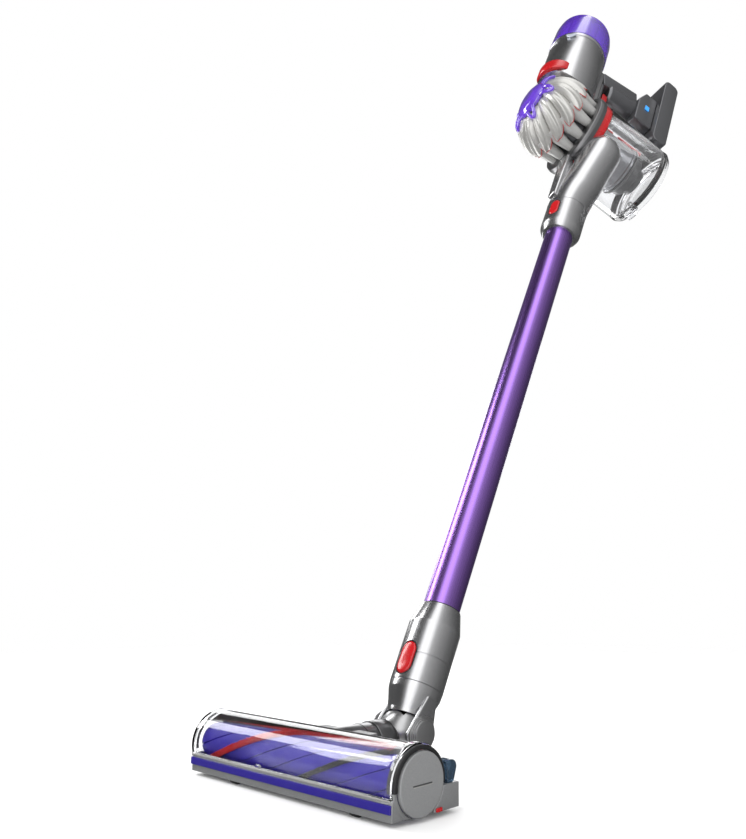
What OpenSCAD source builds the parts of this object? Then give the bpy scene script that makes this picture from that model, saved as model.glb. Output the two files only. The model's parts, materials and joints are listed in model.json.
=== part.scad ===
// Cordless stick vacuum: floor head, neck, wand and hand unit, in millimetres.
// Origin: middle of the flat land of the head's sole behind the suction mouth.
// +Z up, +X along the head, +Y back.

/* [Head] */
// Length of the floor head
head_len = 246; // [238:1:252]
// Depth of the floor head from the bumper to the rear block
head_depth = 63; // [60:1:66]
// Outer radius of the clear arched cover
cover_r = 25.5; // [25.3:0.1:26]
// Radius of the brush bar's tube
brush_r = 20; // [18:0.5:20.5]
// Gap from the sole down to the floor
floor_gap = 3.5; // [3:0.1:4]

/* [Neck] */
// Backward lean of the wand from upright, in degrees
lean = 28.2; // [20:0.2:36]
// Sideways lean of the wand, in degrees
side_lean = -2.3; // [-4:0.1:4]
// Radius of the ball at the pitch hinge
ball_r = 21; // [20:0.5:21]

/* [Wand] */
// Radius of the aluminium tube
tube_r = 17.8; // [17:0.1:18]
// Distance up the wand from the pitch hinge to the lip of the hand unit's inlet
inlet_z = 642; // [600:1:680]
// Radius of the lower collar
collar_r = 24.8; // [24:0.1:26]

/* [Hand unit] */
// Turn of the hand unit about the wand, in degrees
turn = 70; // [60:1:100]
// Radius of the clear dust bin
bin_r = 57; // [55:0.5:58]
// Radius of the motor housing
motor_r = 41.5; // [40:0.5:42]
// Number of small cyclones
cyclones = 14; // [12:1:16]

/* [Hidden] */
$fn = 64;
gap = 0.3;                    // clearance between curved faces that move past each other
touch = 0.05;                 // clearance round a seated part
screw_r = 1.6;                // battery screws
head_x = head_len / 2;
brush_y = -20;
brush_z = 21.2;               // height of the brush axis above the sole
chamber_r = cover_r - 1.2;
front_y = brush_y - 25.1;
rear_y = front_y + head_depth;
tray_top = 14;
rear_top = 17;
end_x = head_x - 3;          // inner face of the end housing
cap_r = 21.6;
barrel_z = 23.5;
barrel_r = 17.2;
barrel_back = 66;
pivot = [3.5, 83.2, 28.9];
pin_r = 3;
cheek_x = 18;                 // half width of the ball
arm_x = [cheek_x + 0.4, cheek_x + 4.4];  // the neck's arms outside the ball
boss_in = arm_x[1] + 0.3;     // the ribbed bosses cap the pins outside the arms
collar_z = 38.8;
collar_top = 115.5;
roller_r = 3.8;
roller_y = -39.5;
roller_x = [-64, 80];
wheel_r = 6;
wheel_y = 10;
wheel_x = 46;

cyc_z = inlet_z + 193;        // height of the cyclone and bin axis up the wand
motor_x = -60;                // offset of the motor axis in front of the wand
motor_z0 = cyc_z + 50;
rim_z = cyc_z + 148;          // joint between motor housing and filter cap
top_z = rim_z + 57;
crown_x = -28;                // front face of the crown ring
bin_x0 = -5;
bin_x1 = 92;
lid_hinge = [95.5, 0, cyc_z - bin_r - 5];
grip_a = [-14, 0, cyc_z + 128];
grip_b = [60, 0, cyc_z + 145];
grip_tilt = atan2(grip_b[2] - grip_a[2], grip_b[0] - grip_a[0]);
batt_x = [82, 108];
batt_y = 29;
batt_z = [cyc_z + 75, cyc_z + 221];
duct_r = 26;
duct_end = [8, -32, cyc_z - 49];

// Frames
module brush_frame() translate([0, brush_y, brush_z]) children();
module wand_frame() translate(pivot) rotate([-lean, 0, 0]) rotate([0, side_lean, 0]) children();
module hand_frame() wand_frame() rotate([0, 0, turn]) children();
module bin_frame() hand_frame() translate([0, 0, cyc_z]) children();

// Shapes
module box(a, b) translate(a) cube(b - a);
module x_cyl(r, x0, x1) translate([x0, 0, 0]) rotate([0, 90, 0]) cylinder(r = r, h = x1 - x0);
module x_tube(ro, ri, x0, x1) difference() {
    x_cyl(ro, x0, x1);
    x_cyl(ri, x0 - 1, x1 + 1);
}
module y_cyl(r, y0, y1) translate([0, y0, 0]) rotate([-90, 0, 0]) cylinder(r = r, h = y1 - y0);
// A solid of revolution about X: points are [radius, x]
module x_spin(pts) rotate([0, 90, 0]) rotate_extrude() polygon(pts);
// A flat rounded bar standing on the local XY plane along X
module oval(len, wid, h) hull() for (s = [-1, 1])
    translate([s * (len - wid) / 2, 0, 0]) cylinder(d = wid, h = h, $fn = 32);

// Floor head
module head_cut() brush_frame() x_cyl(chamber_r, -head_x + 4.5, end_x);

module head_base() color("#85878a") difference() {
    union() {
        box([-head_x + 2, front_y, 0], [head_x - 2, rear_y, tray_top]);
        box([-head_x + 2, -8, 0], [head_x + 2, rear_y, rear_top]);
        difference() {
            box([-32, 4, 0], [32, 26, 38]);
            brush_frame() x_cyl(cover_r + gap, -40, 40);
        }
        intersection() {
            brush_frame() x_cyl(cover_r - 0.4, end_x, head_x - 1);
            box([0, front_y - 9, 0], [head_x, rear_y, 60]);
        }
    }
    head_cut();
    brush_frame() x_cyl(cap_r + gap, end_x - 1, head_x + 9);
    translate([0, 0, barrel_z]) y_cyl(barrel_r + gap, -10, 30);
    for (x = roller_x) {
        box([x - 4.6, roller_y - 4.6, -1], [x + 4.6, roller_y + 4.6, 5]);
        translate([0, roller_y, 0.3]) x_cyl(1.25, x - 7, x + 7);
    }
    for (s = [-1, 1]) {
        box([s * wheel_x - 5, wheel_y - 7, -1], [s * wheel_x + 5, wheel_y + 7, 9.5]);
        translate([0, wheel_y, wheel_r - floor_gap]) x_cyl(1.25, s * wheel_x - 9, s * wheel_x + 9);
    }
    // mouth across the whole length, so that the bar reaches the floor
    box([-head_x + 10, brush_y - 14, -1], [end_x - 6, brush_y + 14, 6]);
}

module bumper_strip() color("#5a45a5")
    box([-head_x + 2, front_y - 1.2, 5.2], [end_x, front_y, 11.2]);

module brush_cover() color("#dfe6ee", 0.4) difference() {
    brush_frame() union() {
        x_tube(cover_r, cover_r - 1.5, -head_x + 2, end_x - 0.2);
        x_tube(cover_r + 1.1, cover_r - 0.5, -head_x + 2, -head_x + 8);
        x_tube(cover_r + 1.1, cover_r - 0.5, end_x - 7, end_x - 0.2);
        x_cyl(cover_r, -head_x + 2, -head_x + 4);
    }
    box([-head_x, front_y - 5, -9], [head_x, brush_y, tray_top]);
    box([-head_x, brush_y, -9], [head_x, rear_y, rear_top]);
    translate([0, 0, barrel_z]) y_cyl(barrel_r + 2 * gap, -10, 30);
}

module cover_seal() color("#1c1c1f") difference() {
    brush_frame() x_tube(cover_r - 1.6, cover_r - 2.5, end_x - 5, end_x - 0.5);
    box([-head_x, front_y - 5, -9], [head_x, rear_y, rear_top + 0.5]);
}

module brush_tube() color("#5146a0") brush_frame() x_tube(brush_r, brush_r - 3.5, -head_x + 6, end_x - 6);

module brush_hubs() color("#33333a") brush_frame() {
    x_tube(brush_r - 3.5 - touch, 8, -head_x + 6, -head_x + 12);
    x_tube(brush_r - 3.5 - touch, 8 + touch, end_x - 12, end_x - 6);
}

module drive_dog() color("#b8b8bc") brush_frame() {
    x_cyl(brush_r - 3.5 - touch, -14, -8);
    x_cyl(2.5, -19.8, -14);
}

module brush_bearing() color("#c9ccd0") brush_frame() x_tube(8, 4 + touch, end_x - 12, end_x - 6);

// Bristle rows wind round the bar between two turns of it
module bristle_row(start, twist, wide, out) brush_frame() translate([-head_x + 8, 0, 0]) rotate([0, 90, 0])
    rotate([0, 0, start]) linear_extrude(height = end_x + head_x - 17, twist = twist, slices = 40)
    translate([brush_r + 0.1, -wide / 2]) square([out, wide]);

module bristles_red() color("#c8202c") bristle_row(310, 235, 3.2, 2.7);

// Fine fixed comb under the rear of the cover
module comb_strip() color("#c8303a") brush_frame() rotate([25, 0, 0]) difference() {
    x_tube(chamber_r - 0.6, chamber_r - 1.3, -head_x + 12, end_x - 12);
    for (s = [-1, 1]) rotate([s * 12, 0, 0]) translate([-200, s > 0 ? -60 : 0, -60]) cube([400, 60, 120]);
}

module bristles_black() color("#17171a") {
    bristle_row(70, 235, 2.2, 2.7);
    bristle_row(190, 235, 2.2, 2.7);
}

module brush_motor() color("#9a9ca0") brush_frame() {
    x_cyl(13, -head_x + 15, -20);
    x_cyl(5, -head_x + 4.5, -head_x + 15);
}

module end_cap() color("#8f9194") brush_frame() difference() {
    union() {
        x_cyl(cap_r, end_x + 1.5, head_x + 2);
        x_cyl(4, end_x - 12, end_x + 1.5);
    }
    box([head_x + 0.5, -10, -1.1], [head_x + 3, 10, 1.1]);
}

module roller(x) color("#202024") translate([0, roller_y, 0.3]) x_tube(roller_r, 1.2 + touch, x - 4, x + 4);
module wheel(x) color("#202024") translate([0, wheel_y, wheel_r - floor_gap])
    x_tube(wheel_r, 1.2 + touch, x - 4.2, x + 4.2);

module axle_pins() color("#c9ccd0") {
    for (x = roller_x) translate([0, roller_y, 0.3]) x_cyl(1.2, x - 6.8, x + 6.8);
    for (s = [-1, 1]) translate([0, wheel_y, wheel_r - floor_gap])
        x_cyl(1.2, s * wheel_x - 8.8, s * wheel_x + 8.8);
}

module indicator_cover() color("#34404f", 0.7) difference() {
    hull() for (p = [[3, 27], [11.5, 27.5], [11.5, 19.5], [3, 19.5]])
        translate([0, p[0], p[1]]) x_cyl(p[1] > 20 ? 5 : 2.5, head_x - 9.5, head_x + 1, $fn = 32);
    brush_frame() x_cyl(cover_r + 1.1 + gap, head_x - 11, head_x + 9);
    box([head_x - 11, -20, 0], [head_x + 9, 30, rear_top]);
}

module sole_latch() color("#c8202c") box([head_x + 2, -7, 0.5], [head_x + 3.2, -1, 3.2]);

// Swivel barrel and pitch hinge
module barrel_tube() color("#6e7074") difference() {
    translate([0, 0, barrel_z]) y_cyl(barrel_r, 8, barrel_back);
    translate([0, 0, barrel_z]) y_cyl(barrel_r - 3, 7, barrel_back + 9);
    translate(pivot) sphere(r = ball_r + touch, $fn = 96);
    brush_frame() x_cyl(chamber_r + 3.5, -40, 40);
}

module barrel_ring() color("#5c5e62") difference() {
    translate([0, 0, barrel_z]) y_cyl(barrel_r + 0.9, 46, 60);
    translate([0, 0, barrel_z]) y_cyl(barrel_r + touch, 40, 70);
    translate(pivot) sphere(r = ball_r + touch, $fn = 96);
}

module knuckle_ball() color("#6a6c70") translate(pivot) difference() {
    sphere(r = ball_r, $fn = 96);
    intersection() {
        sphere(r = ball_r - 3.5, $fn = 96);
        cube([2 * cheek_x - 8, 99, 99], center = true);
    }
    for (s = [-1, 1]) translate([s * (cheek_x + 20), 0, 0]) cube([40, 99, 99], center = true);
    x_cyl(pin_r + touch / 2, -cheek_x - 1, cheek_x + 1);
    translate([-pivot[0], 0, barrel_z - pivot[2]]) y_cyl(barrel_r - 3.6, -40, 0);
    // the neck's air way stays open from upright to laid back
    box([-10, 0, 0], [10, 40, 40]);
    box([-10, -9, 5], [10, 1, 40]);
}

module ribbed_bosses() color("#55575b") translate(pivot) for (s = [0, 180]) rotate([0, 0, s]) difference() {
    translate([boss_in, 0, 0]) x_spin([[0, 0], [15.5, 0], [15.5, 1.3], [14.4, 1.6], [14.4, 2.3], [13.2, 2.6],
        [13.2, 3.5], [12, 3.8], [12, 4.7], [10.6, 5.3], [0, 5.3]]);
    x_cyl(pin_r + touch / 2, boss_in - 1, boss_in + 4.2);
}

module pivot_pins() color("#c9ccd0") translate(pivot) for (s = [0, 180]) rotate([0, 0, s])
    x_cyl(pin_r, cheek_x - 3.6, boss_in + 4);

// Two flat arms hold the pins, and the cone carries them up to the wand
module neck_arms() for (s = [0, 180]) rotate([0, 0, s]) hull() {
    x_cyl(16.5, arm_x[0], arm_x[1], $fn = 48);
    rotate([s == 0 ? -lean : lean, 0, 0]) box([arm_x[0], -13, 24], [arm_x[1], 13, 32]);
}

module neck_cone() color("#9c9ea1") difference() {
    union() {
        wand_frame() rotate_extrude()
            polygon([[0, 12.2], [18.8, 12.2], [19, 16], [collar_r - 0.6, 33],
                     [collar_r - 0.2, collar_z], [0, collar_z]]);
        translate(pivot) neck_arms();
    }
    wand_frame() translate([0, 0, -1]) cylinder(r = 13, h = collar_z + 9);
    translate(pivot) intersection() {
        sphere(r = ball_r + 0.6, $fn = 96);
        cube([2 * cheek_x + 0.6, 99, 99], center = true);
    }
    translate(pivot) x_cyl(pin_r + touch, -arm_x[1] - 1, arm_x[1] + 1);
    wand_frame() translate([0, 0, collar_z]) cylinder(r = 60, h = 20);
}

// Wand
module pad_cut(r, z, az, grow) rotate([0, 0, az]) translate([0, 0, z]) rotate([0, 90, 0])
    translate([0, 0, r]) oval(30 + 2 * grow, 17 + 2 * grow, 20);

module lower_collar() color("#9fa1a4") wand_frame() difference() {
    rotate_extrude() polygon([[13, collar_z], [collar_r, collar_z], [collar_r, 63.6], [collar_r - 0.5, 64],
        [collar_r, 64.4], [collar_r, 98], [tube_r + 1.4, collar_top], [tube_r + 0.1, collar_top],
        [tube_r + 0.1, 60], [13, 60]]);
    pad_cut(18.6, 58, -90, gap);
}

module wand_button() color("#d02028") wand_frame() intersection() {
    pad_cut(20, 58, -90, 0);
    difference() {
        translate([0, 0, 40]) cylinder(r = collar_r + 1.2, h = 60);
        translate([0, 0, 39]) cylinder(r = collar_r - 1.8, h = 62);
    }
}

module wand_tube() color("#7a52c0") wand_frame() translate([0, 0, 60]) difference() {
    cylinder(r = tube_r, h = inlet_z - 12);
    translate([0, 0, -1]) cylinder(r = tube_r - 1.2, h = inlet_z);
}

module wand_conduit() color("#2a2a2e") wand_frame()
    translate([0, tube_r - 4, 61]) cylinder(r = 2, h = inlet_z - 14);

// Hand unit: inlet
module inlet_solid(r) hull() {
    translate([0, 0, inlet_z + 60]) cylinder(r = r, h = 2, $fn = 32);
    translate(duct_end) sphere(r = r + 1, $fn = 32);
}

module around_bin(grow) translate([0, 0, cyc_z]) {
    x_cyl(bin_r + 1 + grow, crown_x - grow, -4);
    x_cyl(bin_r + grow, -5, bin_x1 + 9);
    x_cyl(bin_r + grow, -120, crown_x);
}

module inlet_duct() color("#8d8f93") hand_frame() difference() {
    union() {
        rotate_extrude() polygon([[0, inlet_z], [tube_r + 4, inlet_z], [duct_r + 0.3, inlet_z + 9],
            [duct_r + 0.3, inlet_z + 60], [0, inlet_z + 60]]);
        inlet_solid(duct_r);
        // web under the crown ring
        box([-24, -8, inlet_z + 40], [-14, 8, cyc_z - 40]);
    }
    around_bin(gap);
    inlet_solid(duct_r - 3);
    translate([0, 0, inlet_z - 1]) cylinder(r = tube_r + 0.1, h = 62);
    rotate([0, 0, 203]) translate([0, 0, inlet_z + 30]) rotate([0, 90, 0]) translate([0, 0, 20.6])
        oval(26 + 2 * gap, 13 + 2 * gap, 20);
}

module inlet_button() color("#d02028") hand_frame() intersection() {
    rotate([0, 0, 203]) translate([0, 0, inlet_z + 30]) rotate([0, 90, 0]) oval(26, 13, 40);
    difference() {
        translate([0, 0, inlet_z]) cylinder(r = duct_r + 1.4, h = 60);
        translate([0, 0, inlet_z - 1]) cylinder(r = duct_r - 1.8, h = 62);
    }
}

// Hand unit: motor and filter
module motor_housing() color("#97999c") hand_frame() difference() {
    union() {
        translate([motor_x, 0, motor_z0 - 26]) cylinder(r = motor_r, h = rim_z - motor_z0 + 26);
        box([motor_x + 20, -15, cyc_z + 62], [grip_a[0] - 1, 15, grip_a[2] + 14]);
    }
    translate([motor_x, 0, motor_z0 + 14]) cylinder(r = motor_r - 2.5, h = 200);
    translate([0, 0, cyc_z]) x_cyl(bin_r + 1.5, -140, 99);
}

module motor_can() color("#b0673a") hand_frame() translate([motor_x, 0, 0]) {
    translate([0, 0, motor_z0 + 32]) cylinder(r = 26, h = 42);
    translate([0, 0, motor_z0 + 74]) cylinder(r = motor_r - 2.6, h = 3);
}

module impeller() color("#c9ccd0") hand_frame() translate([motor_x, 0, motor_z0 + 15.5]) {
    cylinder(r1 = 24, r2 = 10, h = 12);
    cylinder(r = 2.5, h = 16);
}

module filter_cap() color("#5b2fc4", 0.6) hand_frame() translate([motor_x, 0, 0]) rotate_extrude()
    polygon([[motor_r - 2, rim_z + gap], [motor_r + 1.2, rim_z + gap], [motor_r + 1.2, rim_z + 4],
        [motor_r + 0.4, rim_z + 40], [motor_r - 1.5, top_z - 4], [motor_r - 5, top_z], [0, top_z],
        [0, top_z - 3], [motor_r - 6, top_z - 3], [motor_r - 4, top_z - 5], [motor_r - 2, rim_z + 38]]);

module post_filter() color("#e6e4ee") hand_frame() translate([motor_x, 0, rim_z + 5]) difference() {
    cylinder(r = motor_r - 5, h = 47);
    translate([0, 0, -1]) cylinder(r = 22, h = 49);
}

// A band round the motor housing from one azimuth to another
module motor_band(ri, ro, z0, z1, a0, a1) hand_frame() translate([motor_x, 0, z0]) rotate([0, 0, a0])
    rotate_extrude(angle = a1 - a0) translate([ri, 0]) square([ro - ri, z1 - z0]);

module mode_slider() color("#c5ccd6")
    motor_band(motor_r + 0.2, motor_r + 2.6, rim_z - 14, rim_z - 4, 213, 231);
module bin_lever() color("#cf2a22")
    motor_band(motor_r + 0.2, motor_r + 5, motor_z0 + 3, motor_z0 + 21, 165, 238);

// Hand unit: bin
module bin_wall() color("#dde4ea", 0.35) bin_frame() difference() {
    union() {
        x_cyl(bin_r, bin_x0, bin_x1);
        box([bin_x0, -6, bin_r - 4], [bin_x1 - 2, 6, bin_r + 8]);
        for (s = [-1, 1]) hull() {
            translate([lid_hinge[0], s * 10, lid_hinge[2] - cyc_z]) y_cyl(3.7, -2, 2, $fn = 32);
            translate([bin_x1 - 8, s * 10, -bin_r + 1]) y_cyl(2, -2, 2, $fn = 32);
        }
    }
    x_cyl(bin_r - 2.5, bin_x0 - 1, bin_x1 + 9);
    box([bin_x0 - 1, -3.6, bin_r + 1], [bin_x1 + 1, 3.6, bin_r + 5.6]);
    translate([lid_hinge[0], 0, lid_hinge[2] - cyc_z]) y_cyl(1.55, -20, 20);
}

module catch_rod() color("#c8202c") bin_frame()
    box([bin_x0 + 1, -3.3, bin_r + 1.3], [bin_x1 - 9, 3.3, bin_r + 5.3]);

module bin_lid() color("#e2e8ee", 0.35) bin_frame() difference() {
    union() {
        x_spin([[0, bin_x1 + gap], [bin_r, bin_x1 + gap], [bin_r + 0.4, bin_x1 + 6], [bin_r - 3, bin_x1 + 11],
            [bin_r - 9, bin_x1 + 14], [0, bin_x1 + 15]]);
        hull() {
            translate([lid_hinge[0], 0, lid_hinge[2] - cyc_z]) y_cyl(4, -7.6, 7.6, $fn = 32);
            translate([bin_x1 + 6, 0, -bin_r + 6]) y_cyl(3, -7.6, 7.6, $fn = 32);
        }
    }
    x_spin([[0, bin_x1 - 1], [bin_r - 2.5, bin_x1 - 1], [bin_r - 2.5, bin_x1 + 6], [bin_r - 5, bin_x1 + 9],
        [bin_r - 10, bin_x1 + 11.5], [0, bin_x1 + 12.5]]);
    translate([lid_hinge[0], 0, lid_hinge[2] - cyc_z]) y_cyl(1.55, -20, 20);
    box([bin_x1 - 9, -7.7, -bin_r - 12], [bin_x1 + gap, 7.7, -bin_r + 4]);
}

module lid_seal() color("#2b2d31") bin_frame() x_tube(bin_r - 2.9, bin_r - 6, bin_x1 - 3, bin_x1 + 5);

module lid_pin() color("#c9ccd0") hand_frame() translate(lid_hinge) y_cyl(1.5, -12, 12);

module mesh_shroud() color("#a4a6a9") bin_frame() x_tube(33, 31, bin_x0 + 2, 60);
module shroud_collar() color("#3b3d41") bin_frame()
    x_spin([[24, 60], [35, 60], [33.5, 64], [29, 66], [27, 76], [19, 78], [18, 88],
            [15, 88], [15, 76], [24, 72]]);

// Hand unit: cyclones
module cyclone_cones() color("#8f9194") bin_frame() for (i = [0:cyclones - 1])
    rotate([i * 360 / cyclones, 0, 0]) translate([crown_x - 38, 0, 41]) rotate([0, 90, 0])
        cylinder(r1 = 8.4, r2 = 5.4, h = 38);

module cyclone_shroud() color("#c9c9c6") bin_frame() difference() {
    x_spin([[22, -97], [30, -97], [44, -91], [53, -82], [bin_r, -69], [bin_r, -46], [bin_r - 2.5, -46],
        [bin_r - 2.5, -68], [50.5, -66.5], [22, -66.5]]);
    for (i = [0:cyclones - 1]) rotate([(i + 0.5) * 360 / cyclones, 0, 0])
        translate([-44, 0, bin_r - 12]) cylinder(r = 8, h = 24);
}

module crown_ring() color("#6d6f72") bin_frame() x_tube(bin_r + 1, 33.5, crown_x, -16);
module red_ring() color("#c8202c") bin_frame() x_tube(bin_r - 2, 33.5, -16, bin_x0);

module prefilter_cap() color("#5a34c0", 0.8) bin_frame() difference() {
    x_spin([[0, -97.3], [39, -97.3], [39, -99.6], [30, -101], [24, -106], [14, -109.5], [0, -110.5]]);
    // what is left between these cuts are the cap's six legs
    for (i = [0:5]) rotate([i * 60 - 15, 0, 0]) translate([0, 0, 42]) x_cyl(13, -120, -90);
}

module prefilter_sock() color("#5f5f9a") bin_frame() x_cyl(20, -97.3, -18);

// Hand unit: grip and battery
module grip() color("#55575b") hand_frame() difference() {
    union() {
        translate(grip_a) rotate([0, -grip_tilt, 0]) {
            translate([0, 0, -8]) x_cyl(16.5, 0, 64);
            box([0, -15, -8], [64, 15, 17.5]);
        }
        box([grip_a[0], -13, cyc_z + 66], [grip_a[0] + 6, 13, grip_a[2]]);
    }
    box([grip_a[0] - 30, -40, 0], [grip_a[0], 40, 2000]);
    box([batt_x[0] - 34, -40, 0], [999, 40, 2000]);
    box([grip_a[0] + 1.9, -8.3, cyc_z + 93], [grip_a[0] + 19, 8.3, cyc_z + 120]);
    battery_screw_rods(screw_r + touch, 0.2);
}

module trigger() color("#cf2a22") hand_frame()
    box([grip_a[0] + 8.4, -8, cyc_z + 97], [grip_a[0] + 18, 8, cyc_z + 113.5]);

// Three closed turns of the trigger's return spring
module trigger_spring() color("#c9ccd0") bin_frame() for (i = [0:2])
    translate([grip_a[0] + 2 + i * 0.9, 0, 105]) x_tube(4, 3.1, 0, 0.7);

module battery_case() color("#4a4c51") hand_frame() difference() {
    hull() for (x = [batt_x[0] + 9, batt_x[1] - 9], z = [batt_z[0] + 9, batt_z[1] - 9])
        translate([x, 0, z]) y_cyl(9, -batt_y, batt_y, $fn = 32);
    box([batt_x[0] + 2, -batt_y + 1.5, batt_z[0] + 6], [batt_x[1] - 2, batt_y - 1.5, batt_z[1] - 6]);
}

module battery_cells() color("#3a6fb5") hand_frame() for (i = [-1, 0, 1], j = [0, 1])
    translate([(batt_x[0] + batt_x[1]) / 2, i * 18.3, batt_z[0] + 7.5 + j * 66]) cylinder(r = 9.1, h = 65);

module battery_block() color("#3c3e43") hand_frame() difference() {
    box([batt_x[0] - 34, -19, cyc_z + 102], [batt_x[0], 19, cyc_z + 172]);
    battery_screw_rods(screw_r + touch, 0.2);
}

module led_window() color("#3ea0e8") hand_frame()
    box([batt_x[0] - 19, -20, cyc_z + 134], [batt_x[0] - 12, -19, cyc_z + 143]);

// Four screws that hold the battery block to the end of the grip
module battery_screw_rods(r, extra) for (z = [cyc_z + 126, cyc_z + 152], y = [-8, 8])
    translate([0, y, z]) x_cyl(r, batt_x[0] - 42 - extra, batt_x[0] - 26 + extra);
module battery_screws() color("#c9ccd0") hand_frame() battery_screw_rods(screw_r, 0);

head_base();
bumper_strip();
brush_cover();
cover_seal();
brush_tube();
brush_hubs();
comb_strip();
drive_dog();
brush_bearing();
bristles_red();
bristles_black();
brush_motor();
end_cap();
roller(roller_x[0]);  // roller_left
roller(roller_x[1]);  // roller_right
wheel(-wheel_x);  // wheel_left
wheel(wheel_x);  // wheel_right
axle_pins();
indicator_cover();
sole_latch();
barrel_tube();
barrel_ring();
knuckle_ball();
ribbed_bosses();
pivot_pins();
neck_cone();
lower_collar();
wand_button();
wand_tube();
wand_conduit();
inlet_duct();
inlet_button();
motor_housing();
motor_can();
impeller();
filter_cap();
post_filter();
mode_slider();
bin_lever();
catch_rod();
bin_wall();
bin_lid();
lid_seal();
lid_pin();
mesh_shroud();
shroud_collar();
cyclone_cones();
cyclone_shroud();
crown_ring();
red_ring();
prefilter_cap();
prefilter_sock();
grip();
trigger();
trigger_spring();
battery_case();
battery_cells();
battery_block();
led_window();
battery_screws();
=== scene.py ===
"""Cordless stick vacuum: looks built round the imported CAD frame. Metres, +Z up, +X along the floor head."""
import json
import math
import random

import bmesh
import bpy
from mathutils import Matrix, Vector


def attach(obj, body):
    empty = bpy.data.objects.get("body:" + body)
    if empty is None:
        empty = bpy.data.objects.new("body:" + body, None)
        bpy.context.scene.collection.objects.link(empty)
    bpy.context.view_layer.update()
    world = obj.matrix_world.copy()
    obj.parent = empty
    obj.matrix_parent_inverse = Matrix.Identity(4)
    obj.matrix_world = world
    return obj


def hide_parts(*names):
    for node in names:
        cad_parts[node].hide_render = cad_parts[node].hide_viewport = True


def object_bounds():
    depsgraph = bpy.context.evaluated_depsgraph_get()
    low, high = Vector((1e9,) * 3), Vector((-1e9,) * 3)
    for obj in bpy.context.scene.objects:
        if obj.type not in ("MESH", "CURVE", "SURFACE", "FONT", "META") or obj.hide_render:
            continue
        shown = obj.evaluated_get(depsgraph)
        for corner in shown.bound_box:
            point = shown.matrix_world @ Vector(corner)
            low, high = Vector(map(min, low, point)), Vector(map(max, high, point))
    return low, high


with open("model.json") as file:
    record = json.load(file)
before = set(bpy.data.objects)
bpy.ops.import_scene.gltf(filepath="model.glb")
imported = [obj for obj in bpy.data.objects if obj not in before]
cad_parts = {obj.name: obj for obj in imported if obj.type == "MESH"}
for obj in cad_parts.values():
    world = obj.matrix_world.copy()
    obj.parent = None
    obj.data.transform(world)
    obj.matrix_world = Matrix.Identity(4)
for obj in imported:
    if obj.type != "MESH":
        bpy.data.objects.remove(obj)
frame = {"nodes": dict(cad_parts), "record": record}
CAD_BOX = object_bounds()
NODES = frame["nodes"]
BODY_OF = {n: b for b, names in frame["record"]["behaviour"]["bodies"].items() for n in names}
MM = 0.001

# ---------------------------------------------------------------- frames of the CAD model's groups
LEAN, SIDE, TURN = math.radians(28.2), math.radians(-2.3), math.radians(70)
PIVOT = Vector((3.5, 83.2, 28.9)) * MM
WORLD = Matrix()
WAND = Matrix.Translation(PIVOT) @ Matrix.Rotation(-LEAN, 4, "X") @ Matrix.Rotation(SIDE, 4, "Y")
HAND = WAND @ Matrix.Rotation(TURN, 4, "Z")
CYCLONE_Z = 835                                  # height of the cyclone's axis along the wand, mm
BIN = HAND @ Matrix.Translation((0, 0, CYCLONE_Z * MM))         # +x runs from the dome to the lid
MOTOR = HAND @ Matrix.Translation((-60 * MM, 0, 0))             # axis of the motor housing and its cap
BRUSH = Matrix.Translation((0, -20 * MM, 21.2 * MM))            # axis of the brush bar, along x


# ---------------------------------------------------------------- materials
class Nodes:
    """A material's node tree with short calls for the few nodes that it needs."""

    def __init__(self, name):
        self.mat = bpy.data.materials.new(name)
        self.mat.use_nodes = True
        self.tree = self.mat.node_tree
        self.bsdf = self.tree.nodes["Principled BSDF"]
        self.coord = self.tree.nodes.new("ShaderNodeTexCoord").outputs["Object"]

    def node(self, kind, inputs=None, **props):
        made = self.tree.nodes.new("ShaderNode" + kind)
        for k, v in props.items():
            setattr(made, k, v)
        for k, v in (inputs or {}).items():
            if isinstance(v, bpy.types.NodeSocket):
                self.tree.links.new(v, made.inputs[k])
            else:
                made.inputs[k].default_value = v
        return made

    def noise(self, scale, detail=3.0, stretch=None):
        vector = self.coord
        if stretch:
            vector = self.node("Mapping", {"Vector": vector, "Scale": stretch}).outputs[0]
        return self.node("TexNoise", {"Vector": vector, "Scale": scale, "Detail": detail}).outputs["Fac"]

    def ramp(self, fac, low, high, a, b):
        limits = {"From Min": low, "From Max": high, "To Min": a, "To Max": b}
        return self.node("MapRange", {"Value": fac, **limits}).outputs[0]

    def mix(self, fac, a, b):
        m = self.node("Mix", data_type="RGBA")
        self.tree.links.new(fac, m.inputs["Factor"])
        for name, v in (("A", a), ("B", b)):
            socket = [i for i in m.inputs if i.name == name and i.type == "RGBA"][0]
            if isinstance(v, bpy.types.NodeSocket):
                self.tree.links.new(v, socket)
            else:
                socket.default_value = (*v, 1)
        return [o for o in m.outputs if o.type == "RGBA"][0]

    def bump(self, height, strength, distance=0.0004):
        made = self.node("Bump", {"Height": height, "Strength": strength, "Distance": distance})
        self.tree.links.new(made.outputs[0], self.bsdf.inputs["Normal"])

    def link(self, socket, name):
        self.tree.links.new(socket, self.bsdf.inputs[name])

    def set(self, **values):
        for k, v in values.items():
            self.bsdf.inputs[k.replace("_", " ")].default_value = v


def shade(c, k):
    return tuple(min(1.0, v * k) for v in c)


def plastic(name, color, rough=0.35, metallic=0.0, grain=900, grain_bump=0.05, coat=0.0, wear=0.12):
    """Moulded plastic: slight blotches of colour, uneven gloss and a fine spark-eroded grain."""
    n = Nodes(name)
    blotch = n.noise(35, 4)
    fine = n.noise(grain, 2)
    pale, dark = shade(color, 1 + wear), shade(color, 1 - wear)
    n.link(n.mix(n.ramp(blotch, 0.3, 0.7, 0, 1), dark, pale), "Base Color")
    n.link(n.ramp(n.noise(120, 4), 0.3, 0.7, rough * 0.82, rough * 1.2), "Roughness")
    n.bump(fine, grain_bump)
    n.set(Metallic=metallic, Coat_Weight=coat, Coat_Roughness=0.08)
    return n.mat


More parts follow.
